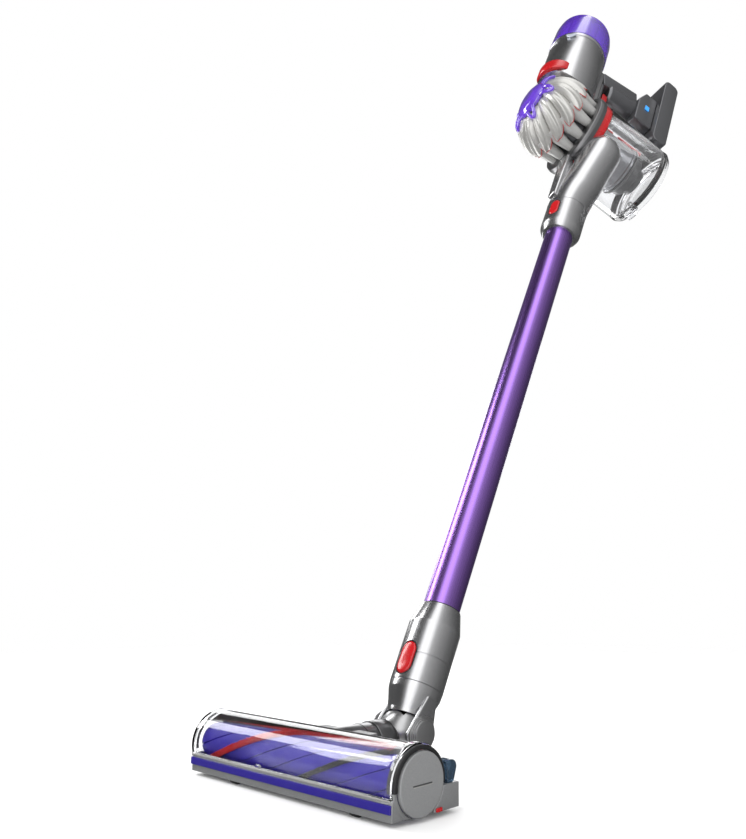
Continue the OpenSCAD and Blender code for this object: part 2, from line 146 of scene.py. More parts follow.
def silver(name, color, rough=0.27, metallic=0.9, coat=0.25):
    """Metal-flake silver lacquer under a thin clear coat."""
    n = Nodes(name)
    flake = n.node("TexVoronoi", {"Vector": n.coord, "Scale": 3000.0}).outputs["Color"]
    gray = n.node("RGBToBW", {"Color": flake}).outputs[0]
    n.link(n.mix(n.ramp(gray, 0.2, 0.8, 0, 1), shade(color, 0.93), shade(color, 1.08)), "Base Color")
    n.link(n.ramp(n.noise(40, 5), 0.3, 0.7, rough * 0.92, rough * 1.1), "Roughness")
    n.set(Metallic=metallic, Coat_Weight=coat, Coat_Roughness=0.15)
    return n.mat


def anodised(name, color):
    """Drawn and anodised aluminium: faint lines along the tube."""
    n = Nodes(name)
    turn = n.node("Mapping", {"Vector": n.coord, "Rotation": (LEAN, -SIDE, 0)}).outputs[0]
    drawn = n.node("Mapping", {"Vector": turn, "Scale": (1, 1, 0.004)}).outputs[0]
    line = n.node("TexNoise", {"Vector": drawn, "Scale": 2500.0, "Detail": 3.0}).outputs["Fac"]
    n.link(n.mix(n.ramp(line, 0.3, 0.7, 0, 1), shade(color, 0.93), shade(color, 1.07)), "Base Color")
    n.link(n.ramp(line, 0.3, 0.7, 0.24, 0.34), "Roughness")
    n.bump(line, 0.04, 0.0001)
    n.set(Metallic=1.0)
    return n.mat


def clear(name, color, rough=0.03, weight=1.0, ior=1.45, coat=0.0):
    """Moulded clear plastic with faint flow marks and handling smears."""
    n = Nodes(name)
    smear = n.noise(28, 5)
    n.link(n.mix(n.ramp(smear, 0.35, 0.7, 0, 1), shade(color, 0.985), color), "Base Color")
    n.link(n.ramp(smear, 0.45, 0.75, rough, rough + 0.05), "Roughness")
    n.bump(n.noise(45, 2), 0.02, 0.0006)
    n.set(Transmission_Weight=weight, IOR=ior, Coat_Weight=coat, Coat_IOR=2.0)
    return n.mat


def rubber(name, color=(0.012, 0.012, 0.013)):
    return plastic(name, color, rough=0.6, grain=1500, grain_bump=0.15)


def fleece(name, color):
    n = Nodes(name)
    fibre = n.noise(1800, 5)
    n.link(n.mix(fibre, shade(color, 0.75), shade(color, 1.1)), "Base Color")
    n.bump(fibre, 0.5, 0.0005)
    n.set(Roughness=0.9, Sheen_Weight=0.3)
    return n.mat


M = {
    "grey_plastic": silver("grey_lacquer", (0.27, 0.274, 0.278), 0.4, 0.5),
    "silver_plastic": silver("silver_lacquer", (0.50, 0.50, 0.51), 0.24, 0.97, 0.1),
    "neck_metal": silver("neck_lacquer", (0.36, 0.36, 0.365), 0.3, 0.9, 0.1),
    "shroud_metal": silver("shroud_lacquer", (0.20, 0.20, 0.205), 0.3, 0.95, 0.0),
    "dark_plastic": silver("gunmetal_lacquer", (0.135, 0.137, 0.145), 0.3, 0.75),
    "black_plastic": plastic("black_abs", (0.05, 0.05, 0.052), 0.36),
    "black_rubber": rubber("black_rubber"),
    "cap_plastic": silver("cap_lacquer", (0.30, 0.304, 0.308), 0.42, 0.4),
    "pearl_plastic": plastic("pearl_lacquer", (0.50, 0.495, 0.475), 0.34, 0.55, coat=0.25, wear=0.04),
    "cone_plastic": plastic("cone_grey", (0.42, 0.42, 0.41), 0.33, 0.3),
    "violet_plastic": plastic("violet_abs", (0.018, 0.010, 0.200), 0.36, 0.0, coat=0.1, wear=0.04),
    "brush_plastic": plastic("brush_violet", (0.020, 0.011, 0.215), 0.5, 0.0, wear=0.04),
    "violet_anodised": anodised("violet_anodised", (0.34, 0.18, 0.62)),
    "violet_clear": clear("violet_polycarbonate", (0.25, 0.08, 0.85), 0.05, 0.8, coat=1.0),
    "violet_tint": clear("violet_tint", (0.16, 0.06, 0.60), 0.08, 0.3, coat=1.0),
    "clear": clear("clear_polycarbonate", (0.985, 0.99, 1.0)),
    "smoke_clear": clear("smoked_polycarbonate", (0.05, 0.09, 0.14), 0.08, 0.6),
    "red_plastic": plastic("red_abs", (0.44, 0.004, 0.007), 0.25, coat=0.3, wear=0.05),
    "red_bristle": plastic("red_nylon", (0.48, 0.008, 0.012), 0.4, wear=0.05),
    "black_bristle": plastic("carbon_fibre_tufts", (0.012, 0.012, 0.014), 0.5),
    "steel": silver("bright_steel", (0.6, 0.6, 0.62), 0.2),
    "impeller_plastic": plastic("grey_nylon", (0.5, 0.5, 0.52), 0.4),
    "copper": silver("motor_can", (0.55, 0.33, 0.2), 0.3),
    "filter_media": fleece("white_fleece", (0.62, 0.55, 0.80)),
    "filter_sock": fleece("violet_fleece", (0.2, 0.16, 0.42)),
    "slider_plastic": plastic("light_grey_abs", (0.50, 0.54, 0.62), 0.3, 0.3),
    "led_blue": plastic("light_pipe", (0.03, 0.25, 0.7), 0.2),
    "cell_wrap": plastic("cell_wrap", (0.06, 0.2, 0.5), 0.3),
}
for finish, socket, value in (("brush_plastic", "Specular IOR Level", 0.12),
                              ("led_blue", "Emission Strength", 0.5),
                              ("led_blue", "Emission Color", (0.05, 0.35, 0.9, 1))):
    M[finish].node_tree.nodes["Principled BSDF"].inputs[socket].default_value = value

SLOT_OF = {s["node"]: s["material_slot"] for s in frame["record"]["subparts"]}
for cad_name, cad in NODES.items():
    cad.data.materials.clear()
    cad.data.materials.append(M[SLOT_OF[cad_name]])


# ---------------------------------------------------------------- shapes: (points, faces) in mm
def fillet(points, radius, steps=4, closed=True):
    """Rounds the corners of an outline; a point may carry its own radius as a third number."""
    out, n = [], len(points)
    for i, p in enumerate(points):
        here, r = Vector(p[:2]), p[2] if len(p) > 2 else radius
        a, b = Vector(points[i - 1][:2]) - here, Vector(points[(i + 1) % n][:2]) - here
        if r <= 0 or (not closed and i in (0, n - 1)) or a.length < 1e-6 or b.length < 1e-6:
            out.append(tuple(here))
            continue
        half = a.angle(b) / 2
        d = min(r / max(math.tan(half), 1e-3), a.length * 0.45, b.length * 0.45)
        s, e = here + a.normalized() * d, here + b.normalized() * d
        if half > 1.52:
            out.append(tuple(here))
            continue
        for k in range(steps + 1):
            t = k / steps
            out.append(tuple(s * (1 - t) ** 2 + here * 2 * t * (1 - t) + e * t * t))
    return out


def revolved(profile, seg=96, axis="z", start=0.0, sweep=360.0, closed=True):
    """A profile of (radius, height) turned about z or x. Angle 0 is +x for z, and +y for x."""
    full = sweep >= 360
    rings, n = (seg if full else seg + 1), len(profile)
    points, faces = [], []
    for j in range(rings):
        a = math.radians(start + sweep * j / seg)
        c, s = math.cos(a), math.sin(a)
        points += [(r * c, r * s, h) if axis == "z" else (h, r * c, r * s) for r, h in profile]
    for j in range(seg):
        k = (j + 1) % rings
        for i in range(n if closed else n - 1):
            faces.append((j * n + i, j * n + (i + 1) % n, k * n + (i + 1) % n, k * n + i))
    if not full and closed:
        faces += [tuple(range(n)), tuple(reversed(range((rings - 1) * n, rings * n)))]
    return points, faces


def bands(rows, n):
    """The faces between closed rows of n points each."""
    return [(j * n + i, j * n + (i + 1) % n, (j + 1) * n + (i + 1) % n, (j + 1) * n + i)
            for j in range(rows - 1) for i in range(n)]


def turns(count):
    """The angles of that many even steps round a circle."""
    return [2 * math.pi * k / count for k in range(count)]


def swept(path, radius, seg=16, squash=1.0, closed=False, up=(0, 0, 1)):
    """A round or oval bar along a path; radius is one number or one for each point."""
    path = [Vector(p) for p in path]
    n = len(path)
    points, faces, side = [], [], None
    for i, p in enumerate(path):
        if closed:
            ahead = path[(i + 1) % n] - path[i - 1]
        else:
            ahead = path[min(i + 1, n - 1)] - path[max(i - 1, 0)]
        ahead.normalize()
        side = ahead.cross(Vector(up)) if side is None else side - ahead * side.dot(ahead)
        if side.length < 1e-4:
            side = ahead.orthogonal()
        side.normalize()
        lift = side.cross(ahead)
        r = radius[i] if isinstance(radius, (list, tuple)) else radius
        for k in range(seg):
            a = 2 * math.pi * k / seg
            points.append(p + side * (r * math.cos(a)) + lift * (r * squash * math.sin(a)))
    for i in range(n if closed else n - 1):
        j = (i + 1) % n
        for k in range(seg):
            faces.append((i * seg + k, i * seg + (k + 1) % seg, j * seg + (k + 1) % seg, j * seg + k))
    if not closed:
        faces += [tuple(reversed(range(seg))), tuple(range((n - 1) * seg, n * seg))]
    return points, faces


def from_bmesh(bm):
    bm.verts.index_update()
    made = [tuple(v.co) for v in bm.verts], [tuple(v.index for v in f.verts) for f in bm.faces]
    bm.free()
    return made


def rbox(lo, hi, r, steps=3):
    """A box with every edge rounded."""
    bm = bmesh.new()
    bmesh.ops.create_cube(bm, size=1)
    lo, hi = Vector(lo), Vector(hi)
    for v in bm.verts:
        v.co = Vector(((lo[i] + hi[i]) / 2 + v.co[i] * (hi[i] - lo[i])) for i in range(3))
    bmesh.ops.bevel(bm, geom=list(bm.edges), offset=r, segments=steps, profile=0.5, affect="EDGES")
    return from_bmesh(bm)


def slab(outline, low, high, rim, along="z", steps=3):
    """An outline drawn out along an axis, with rounded rims; its points give the other two axes in order."""
    n, order = len(outline), {"z": (0, 1, 2), "y": (0, 2, 1), "x": (2, 0, 1)}[along]
    mid = Vector((sum(p[0] for p in outline) / n, sum(p[1] for p in outline) / n))
    normals = []
    for i, p in enumerate(outline):
        t = Vector(outline[(i + 1) % n]) - Vector(outline[i - 1])
        nrm = Vector((t.y, -t.x)).normalized()
        if nrm.dot(Vector(p) - mid) < 0:
            nrm = -nrm
        normals.append(nrm)
    quarter = [k * math.pi / 2 / steps for k in range(steps + 1)]
    levels = [(rim * (1 - math.sin(a)), low + rim * (1 - math.cos(a))) for a in quarter]
    levels += [(a, high + low - h) for a, h in reversed(levels)]
    points = []
    for inset, h in levels:
        for q, nrm in zip(outline, normals):
            here = (*(Vector(q) - nrm * inset), h)
            points.append(tuple(here[k] for k in order))
    ends = [tuple(reversed(range(n))), tuple(range(len(points) - n, len(points)))]
    return points, bands(len(levels), n) + ends


def round_rect(w, h, r, cx=0.0, cy=0.0, steps=8):
    out = []
    for k, (sx, sy) in enumerate(((1, 1), (-1, 1), (-1, -1), (1, -1))):
        for i in range(steps + 1):
            a = math.pi / 2 * (k + i / steps)
            out.append((cx + sx * (w / 2 - r) + r * math.cos(a), cy + sy * (h / 2 - r) + r * math.sin(a)))
    return out


def joined(*shapes):
    points, faces = [], []
    for p, f in shapes:
        base = len(points)
        points += list(p)
        faces += [tuple(i + base for i in face) for face in f]
    return points, faces


def placed(shape, matrix):
    return [matrix @ Vector(p) for p in shape[0]], shape[1]


def piece(name, shape, where, mat, body, *stands_for, sharp=38, slot=None):
    """One shown piece: its mesh and finish, the body that it rides on and the CAD nodes it stands for."""
    bm = bmesh.new()
    verts = [bm.verts.new(where @ (Vector(p) * MM)) for p in shape[0]]
    for f in shape[1]:
        try:
            bm.faces.new([verts[i] for i in f])
        except ValueError:
            pass
    bmesh.ops.remove_doubles(bm, verts=bm.verts, dist=2e-6)
    bmesh.ops.dissolve_degenerate(bm, edges=bm.edges, dist=1e-7)
    bmesh.ops.recalc_face_normals(bm, faces=bm.faces)
    mesh = bpy.data.meshes.new(name)
    bm.to_mesh(mesh)
    bm.free()
    return show(name, mesh, mat, body, stands_for, sharp)


def show(name, mesh, mat, body, stands_for, sharp):
    mesh.shade_smooth()
    mesh.set_sharp_from_angle(angle=math.radians(sharp))
    made = bpy.data.objects.new(name, mesh)
    bpy.context.collection.objects.link(made)
    made.data.materials.append(M[mat])
    # light passes straight through clear pieces to what is inside them
    made.visible_shadow = mat not in ("clear", "violet_clear", "violet_tint")
    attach(made, body)
    if stands_for:
        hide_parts(*stands_for)
    # a finish that is no slot of the record's stands in for the slot of the node it shows
    return made


def softened(node, width=0.5, mat=None, sharp=30, steps=2, cuts=(), keep=lambda middle: True):
    """The CAD node's own shape with rounded edges. Its flat faces with holes are cut at (axis, mm) first."""
    bm = bmesh.new()
    bm.from_mesh(NODES[node].data)
    bmesh.ops.remove_doubles(bm, verts=bm.verts, dist=3e-6)
    for axis, at in cuts:
        across = Vector([1 if i == axis else 0 for i in range(3)])
        made = bmesh.ops.bisect_plane(bm, geom=bm.verts[:] + bm.edges[:] + bm.faces[:], dist=1e-7,
                                      plane_co=across * at * MM, plane_no=across)
        for part in made["geom_cut"]:
            if isinstance(part, bmesh.types.BMEdge):
                part.seam = True
    bmesh.ops.dissolve_limit(bm, angle_limit=0.003, verts=bm.verts, edges=bm.edges, delimit={"SEAM"})
    if width:
        hard = [e for e in bm.edges if len(e.link_faces) == 2 and e.calc_face_angle(0) > math.radians(sharp)
                and keep((e.verts[0].co + e.verts[1].co) / 2 / MM)]
        bmesh.ops.bevel(bm, geom=hard, offset=width * MM, segments=steps, profile=0.5, affect="EDGES")
    mesh = bpy.data.meshes.new("soft_" + node)
    bm.to_mesh(mesh)
    bm.free()
    return show("soft_" + node, mesh, mat or SLOT_OF[node], BODY_OF[node], (node,), 40)


def cut(shape, tool):
    """The first shape less the second one."""
    objects = []
    for name, (points, faces) in (("shape", shape), ("tool", tool)):
        mesh = bpy.data.meshes.new("cut_" + name)
        mesh.from_pydata([tuple(q) for q in points], [], [tuple(f) for f in faces])
        objects.append(bpy.data.objects.new("cut_" + name, mesh))
        bpy.context.scene.collection.objects.link(objects[-1])
    change = objects[0].modifiers.new("cut", "BOOLEAN")
    change.operation, change.solver, change.object = "DIFFERENCE", "EXACT", objects[1]
    result = objects[0].evaluated_get(bpy.context.evaluated_depsgraph_get()).to_mesh()
    shape = [tuple(v.co) for v in result.vertices], [tuple(f.vertices) for f in result.polygons]
    for o in objects:
        mesh = o.data
        bpy.data.objects.remove(o)
        bpy.data.meshes.remove(mesh)
    return shape


# ---------------------------------------------------------------- oval push buttons in a round wall
BUTTON_RISE, BUTTON_SKIRT = 1.2, 2.5             # how far a button stands proud of the wall and reaches in
POCKET_GAP, POCKET_DEPTH = 0.35, 6.5
LINE_GROWTH = 0.7                                # the black line lies this far outside the button's outline


class Button:
    """An oval of parallel sides and round ends on a wall of radius r, at a height z and an azimuth az."""

    def __init__(self, r, z, az, length, width):
        self.r, self.z, self.az = r, z, math.radians(az)
        self.length, self.width = length, width

    def outline(self, share, growth=0.0, around=56):
        """Points (across, along) of the oval, drawn in to a share of its size."""
        half, cap = (self.length - self.width) / 2, self.width / 2 + growth
        return [(cap * math.sin(a) * share, (cap * math.cos(a) + math.copysign(half, math.cos(a))) * share)
                for a in turns(around)]

    def on_wall(self, across, along, r):
        a = self.az + across / self.r
        return r * math.cos(a), r * math.sin(a), self.z + along

    def pocket(self):
        """The room that the button slides into."""
        grown = [size + 2 * POCKET_GAP for size in (self.width, self.length)]
        outline = round_rect(*grown, grown[0] / 2 - 0.01, 0, self.z)
        room = slab(outline, self.r - POCKET_DEPTH, self.r + 6, 0.05, "x")
        return placed(room, Matrix.Rotation(self.az, 4, "Z"))

    def cap(self, dish, rows=12):
        """Domed towards its edge, with a thumb dish below its middle and a skirt."""
        points = []
        for k in [row / (rows - 2) for row in range(rows - 1)]:
            for s, t in self.outline(max(k, 0.001)):
                hollow = dish * math.exp(-(s / 4.5) ** 2 - ((t + self.length * 0.16) / 5.5) ** 2)
                points.append(self.on_wall(s, t, self.r + BUTTON_RISE * (1 - k ** 7) ** 0.5 - hollow))
        points += [self.on_wall(s, t, self.r - BUTTON_SKIRT) for s, t in self.outline(1)]
        return points, bands(rows, len(points) // rows)

    def line(self, thick):
        """The dark line on the wall round the button."""
        path = [self.on_wall(s, t, self.r - 0.1) for s, t in self.outline(1, LINE_GROWTH)]
        return swept(path, thick, 8, closed=True)


def push_button(name, button, where, dish, thick):
    """The red button and the dark line round it."""
    piece(name + "_red", button.cap(dish), where, "red_plastic", name, name, sharp=60)
    piece(name + "_gap", button.line(thick), where, "black_rubber", "hand_unit")


# ---------------------------------------------------------------- floor head
HEAD_X, END_X, COVER_R, BRUSH_R = 123.0, 120.0, 25.5, 20.0
LEFT_X = -HEAD_X                                 # the closed end of the cover
TWIST = -240.0                                   # turn of the bristle rows along the bar, degrees
BAR = (-117.0, 114.0)
HOLES_X = (-64, 80, -46, 46, 0)                  # middles of the rollers, of the wheels and of the barrel
HOLES_Y = (-20, 10)                              # the suction mouth's middle and the tray behind it
ROWS = {"red": (312,), "black": (72, 192)}       # where each row starts, degrees from the bar's underside
BRISTLE_TIP, BRISTLE_ROOT = 2.75, 0.8            # the tufts' tips above the bar, their roots below it
TINE_R, TINE_PITCH = 23.45, 3.1


def helix(angle, x):
    """Radians about x, from +y towards +z, of a row that starts at an angle from the bar's underside."""
    t = (x - BAR[0]) / (BAR[1] - BAR[0])
    return math.radians(angle + TWIST * t - 90)


def brush_bar():
    """The bar's mesh follows the twist of its rows, so that its nine grooves run along the mesh."""
    spots = {float(angle): BRUSH_R for angle in range(0, 360, 3)}
    for groove in range(32, 392, 40):
        for off, depth in ((-2.4, 0), (-1.3, 0.15), (-0.7, 1.0), (0.7, 1.0), (1.3, 0.15), (2.4, 0)):
            spots[(groove + off) % 360] = BRUSH_R - depth
    keys = sorted(spots)
    cols, n = 72, len(keys)
    points = []
    for c in range(cols + 1):
        x = BAR[0] + (BAR[1] - BAR[0]) * c / cols
        for k in keys:
            a = helix(k, x)
            points.append((x, spots[k] * math.cos(a), spots[k] * math.sin(a)))
    return points, bands(cols + 1, n) + [tuple(range(n)), tuple(range(cols * n, (cols + 1) * n))]


def bristles(starts, width, rng, step=0.62, across=3):
    """Nylon tufts set in rows along the twist, each a thin square pyramid without its point."""
    points, faces = [], []

    def square(x, angle, r, half):
        for sx, sa in ((-1, -1), (1, -1), (1, 1), (-1, 1)):
            a = angle + sa * half / BRUSH_R
            points.append((x + sx * half, r * math.cos(a), r * math.sin(a)))

    for start in starts:
        x = BAR[0] + 3
        while x < BAR[1] - 6:
            for c in range(across):
                place = ((c + 0.5) / across - 0.5) * width / BRUSH_R
                angle = helix(start, x) + place + rng.uniform(-0.012, 0.012)
                lean = angle + rng.uniform(-0.02, 0.02)
                tip = BRUSH_R + BRISTLE_TIP - rng.random() * 0.35
                base = len(points)
                square(x, angle, BRUSH_R - BRISTLE_ROOT, 0.42)
                square(x + rng.uniform(-0.3, 0.3), lean, tip, 0.22)
                faces += [tuple(base + k for k in face) for face in bands(2, 4)]
                faces.append((base + 4, base + 5, base + 6, base + 7))
            x += step
    return points, faces


def comb():
    """Fine red tines side by side under the top of the cover, on one thin strip."""
    shapes = []
    angles = [math.radians(102 + 2.9 * k) for k in range(7)]
    x = LEFT_X + 14
    while x < END_X - 14:
        arc = [(x, TINE_R * math.cos(a), TINE_R * math.sin(a)) for a in angles]
        shapes.append(swept(arc, [0.34, 0.36, 0.36, 0.36, 0.34, 0.3, 0.22], seg=6, up=(1, 0, 0)))
        x += TINE_PITCH
    section = fillet([(23.9, LEFT_X + 12), (23.9, END_X - 12), (23.3, END_X - 12), (23.3, LEFT_X + 12)], 0.1)
    return joined(revolved(section, 6, "x", 98, 4), *shapes)


def floor_head():
    # the pockets of the sole keep their crisp edges
    softened("head_base", 0.7, cuts=[(1, y) for y in HOLES_Y] + [(0, x) for x in HOLES_X],
             keep=lambda m: m.z > 9.6 or abs(m.x) > 119 or (m.z > 1 and not -43.5 < m.y < 24))
    strip = fillet([(-46.3, 5.2), (-44.6, 5.2), (-44.6, 11.2), (-46.3, 11.2)], 0.6)
    strip = slab(strip, LEFT_X + 2, END_X, 0.3, "x")
    piece("bumper_violet", strip, WORLD, "violet_plastic", "head", "bumper_strip")
    lip = rbox((LEFT_X + 2, -46.1, 11.4), (END_X + 0.5, -42.5, 15.2), 0.9)
    piece("lip_clear", lip, WORLD, "clear", "head")
    # a thin pale strip on the clear lip: a painted highlight line along it
    line = rbox((LEFT_X + 3, -46.3, 13.2), (END_X - 0.5, -45.7, 14.3), 0.25)
    piece("lip_highlight_strip", line, WORLD, "pearl_plastic", "head")
    cover()
    rng = random.Random(7)
    piece("brush_bar_violet", brush_bar(), BRUSH, "brush_plastic", "brush_bar", "brush_tube", sharp=50)
    red = bristles(ROWS["red"], 4.6, rng, across=4)
    piece("bristles_red_row", red, BRUSH, "red_bristle", "brush_bar", "bristles_red", sharp=25)
    black = bristles(ROWS["black"], 3.4, rng)
    piece("bristles_black_rows", black, BRUSH, "black_bristle", "brush_bar", "bristles_black", sharp=25)
    piece("comb_red", comb(), BRUSH, "red_bristle", "head", "comb_strip")
    end_cap()
    softened("indicator_cover", 0.8, sharp=40)
    softened("sole_latch", 0.4)
    for wheel in ("roller_left", "roller_right", "wheel_left", "wheel_right"):
        softened(wheel, 0.6)


def cover():
    """The clear arch with thick rims at both ends and a closed left end, and its dark seals."""
    rim_r = COVER_R + 0.9
    section = fillet([(0.6, LEFT_X + 2, 0), (rim_r, LEFT_X + 2, 0.6), (rim_r, LEFT_X + 7, 0.6),
                      (COVER_R, LEFT_X + 8, 0.4), (COVER_R, END_X - 8, 0.4), (rim_r, END_X - 7, 0.5),
                      (rim_r, END_X - 0.3, 0.5), (24.0, END_X - 0.3, 0.4), (24.0, LEFT_X + 3.8, 0.6),
                      (0.6, LEFT_X + 3.8, 0)], 0.4)
    piece("brush_cover_clear", revolved(section, 80, "x", -9.5, 205.5), BRUSH, "clear", "head", "brush_cover")
    piece("cover_clip", rbox((-31, -46.2, 14.6), (-24, -43.6, 17.2), 0.7), WORLD, "clear", "head")
    seal = fillet([(23.95, END_X - 5), (23.95, END_X + 0.1), (22.6, END_X + 0.1), (22.6, END_X - 5)], 0.3)
    piece("cover_seal_black", revolved(seal, 72, "x", -2, 190), BRUSH, "black_rubber", "head", "cover_seal")
    ring = fillet([(22.3, END_X + 0.2), (25.3, END_X + 0.2), (25.3, END_X + 2.6), (24.4, END_X + 3.2),
                   (22.3, END_X + 3.2)], 0.4)
    piece("end_seal_black", revolved(ring, 96, "x", -6, 192), BRUSH, "black_rubber", "head")
    left = fillet([(23.9, LEFT_X + 4), (23.9, LEFT_X + 7), (22.4, LEFT_X + 7), (22.4, LEFT_X + 4)], 0.3)
    piece("cover_seal_left", revolved(left, 72, "x", -2, 190), BRUSH, "black_rubber", "head")


def end_cap():
    """A round plate with a coin slot. A black bar stands in for the slot's shaded inside as painted shade,
    and a pale strip under it is a painted highlight on its lower lip.
    """
    disc = fillet([(0, END_X + 1.4, 0), (21.6, END_X + 1.4, 0.3), (21.6, HEAD_X + 1.7, 0.6),
                   (20.6, HEAD_X + 2, 0.4), (0, HEAD_X + 2, 0)], 0.4)
    piece("end_cap_disc", revolved(disc, 128, "x"), BRUSH, "cap_plastic", "end_cap", "end_cap")
    # black bar: painted shade inside the coin slot, which is not cut into the disc
    slot = rbox((HEAD_X + 1.2, -9.6, -0.9), (HEAD_X + 2.05, 9.6, 0.5), 0.2, 1)
    piece("coin_slot", slot, BRUSH, "black_plastic", "end_cap")
    # pale strip: painted highlight along the slot's lower lip
    lip = rbox((HEAD_X + 1.2, -8.8, -1.35), (HEAD_X + 2.1, 9.9, -0.75), 0.15, 1)
    piece("coin_slot_painted_highlight", lip, BRUSH, "pearl_plastic", "end_cap")


# ---------------------------------------------------------------- neck and wand
BARREL_Z, BARREL_SEAM_R, BARREL_SEAMS_Y = 23.5, 17.25, (34.0, 63.5)
TUBE_R, COLLAR_R = 17.8, 24.8
COLLAR_Z, COLLAR_TOP = 38.8, 115.5
WAND_BUTTON = Button(COLLAR_R, 58, -90, 30, 17)


def neck_arm():
    """Outline in (y, z) of the flat arm: round the pivot, drawn out to a blunt tip along the wand."""
    lean = Matrix.Rotation(-LEAN, 4, "X")
    arc = [math.radians(-190 + 200 * k / 28) for k in range(29)]
    outline = [(16.5 * math.cos(a), 16.5 * math.sin(a)) for a in arc]
    for y, z in ((7, 29), (6, 32), (-6, 32), (-7, 29)):
        tip = lean @ Vector((0, y, z))
        outline.append((tip.y, tip.z))
    return fillet(outline, 1.5, 2)


def neck():
    softened("barrel_tube", 0.5, mat="shroud_metal")
    softened("barrel_ring", 0.4, mat="shroud_metal")
    softened("knuckle_ball", 0.5, mat="neck_metal")
    softened("ribbed_bosses", 0.25, mat="neck_metal")
    cone = fillet([(18.8, 12.4, 0.4), (19.0, 16, 2), (24.2, 33, 3), (24.6, 38.6, 0.3), (14, 38.6, 0),
                   (17.2, 12.4, 0.3)], 1)
    piece("neck_cone_silver", revolved(cone, 128), WAND, "silver_plastic", "hand_unit", "neck_cone")
    for side, x in (("near", 18.4), ("far", -22.4)):
        arm = slab(neck_arm(), x, x + 4, 1.6, "x")
        piece(f"neck_arm_{side}", arm, Matrix.Translation(PIVOT), "silver_plastic", "hand_unit")
    for y in BARREL_SEAMS_Y:
        circle = [(BARREL_SEAM_R * math.cos(a), y, BARREL_Z + BARREL_SEAM_R * math.sin(a)) for a in turns(72)]
        seam = swept(circle, 0.28, 6, closed=True, up=(0, 1, 0))
        piece(f"barrel_seam_{int(y)}", seam, WORLD, "black_rubber", "swivel")


def wand():
    bore = TUBE_R + 0.1
    collar = fillet([(13.2, COLLAR_Z, 0), (COLLAR_R, COLLAR_Z, 0.5), (COLLAR_R, 63.5, 0.15), (24.35, 63.8, 0),
                     (24.35, 64.2, 0), (COLLAR_R, 64.5, 0.15), (COLLAR_R, 96, 0.8), (19.6, COLLAR_TOP, 0.5),
                     (bore, COLLAR_TOP, 0), (bore, 60, 0), (13.2, 60, 0)], 0.5)
    piece("wand_collar_silver", cut(revolved(collar, 128), WAND_BUTTON.pocket()), WAND,
          "silver_plastic", "hand_unit", "lower_collar")
    tube = fillet([(TUBE_R, 60.2), (TUBE_R, 690), (16.6, 690), (16.6, 60.2)], 0.2)
    piece("wand_tube_violet", revolved(tube, 128), WAND, "violet_anodised", "hand_unit", "wand_tube")
    seal = fillet([(19.2, 114.6), (19.2, 116.4), (17.85, 116.4), (17.85, 114.6)], 0.3)
    piece("wand_seal", revolved(seal, 96), WAND, "black_rubber", "hand_unit")
    push_button("wand_button", WAND_BUTTON, WAND, dish=0.5, thick=0.55)


# ---------------------------------------------------------------- hand unit
BIN_R, BIN_BACK, BIN_FRONT = 57.0, -4.9, 91.8    # the clear wall, from the red ring to the lid
CROWN_BACK, CROWN_FRONT, CROWN_R = -29.5, -3.5, 58.4
DUCT_R, DUCT_Z, DUCT_SEAM_Z = 26.3, 642, 690
INLET_BUTTON = Button(DUCT_R, 672, 203, 26, 13)
CYCLONES = 14


def clear_of_bin(shape):
    """Moves every point that lies inside the bin or the crown ring out to their surface."""
    points = []
    for x, y, z in shape[0]:
        limit = (CROWN_R if CROWN_BACK < x < CROWN_FRONT else BIN_R) + 0.5
        r = math.hypot(y, z - CYCLONE_Z)
        if r < limit:
            y, z = y * limit / r, CYCLONE_Z + (z - CYCLONE_Z) * limit / r
        points.append((x, y, z))
    return points, shape[1]


def duct():
    """A round duct out of the wand that bends towards the bin's near side and ends in a dome."""
    tip, base = Vector((8, -32, 786)), Vector((0, 0, 700))
    way = (tip - base).normalized()
    rings = [(0, 20.6), (1, 21.8), (4, 23.6), (7, 25.3), (9, 26.1), (12, DUCT_R), (24, DUCT_R), (36, DUCT_R)]
    path = [Vector((0, 0, DUCT_Z + h)) for h, r in rings]
    radii = [r for h, r in rings]
    bend, join, tip_r = (Vector((0, 0, 690)), Vector((0, 0, 712))), base.lerp(tip, 0.4), 27
    for t in [k / 12 for k in range(1, 13)]:
        path.append(bend[0].lerp(bend[1], t).lerp(join, t * t * 0.999))
        radii.append(DUCT_R + 0.2 * t)
    for t in [k / 12 for k in range(1, 13)]:
        path.append(base.lerp(tip, 0.4 + 0.6 * t))
        radii.append(DUCT_R + 0.2 + 0.5 * t)
    for a in [math.pi / 2 * k / 16 for k in range(1, 17)]:
        path.append(tip + way * tip_r * math.sin(a))
        radii.append(max(tip_r * math.cos(a), 0.05))
    tube = cut(swept(path, radii, 96, up=(0, 1, 0)), INLET_BUTTON.pocket())
    web = rbox((-30, -8, 700), (-17, 8, 796), 3)
    return clear_of_bin(joined(tube, web))


def hand_front():
    piece("duct_silver", duct(), HAND, "silver_plastic", "hand_unit", "inlet_duct", sharp=50)
    push_button("inlet_button", INLET_BUTTON, HAND, dish=0.6, thick=0.5)
    r = DUCT_R + 0.05
    seam = swept([(r * math.cos(a), r * math.sin(a), DUCT_SEAM_Z) for a in turns(96)], 0.22, 6, closed=True)
    piece(f"duct_seam_{DUCT_SEAM_Z}", seam, HAND, "black_rubber", "hand_unit")


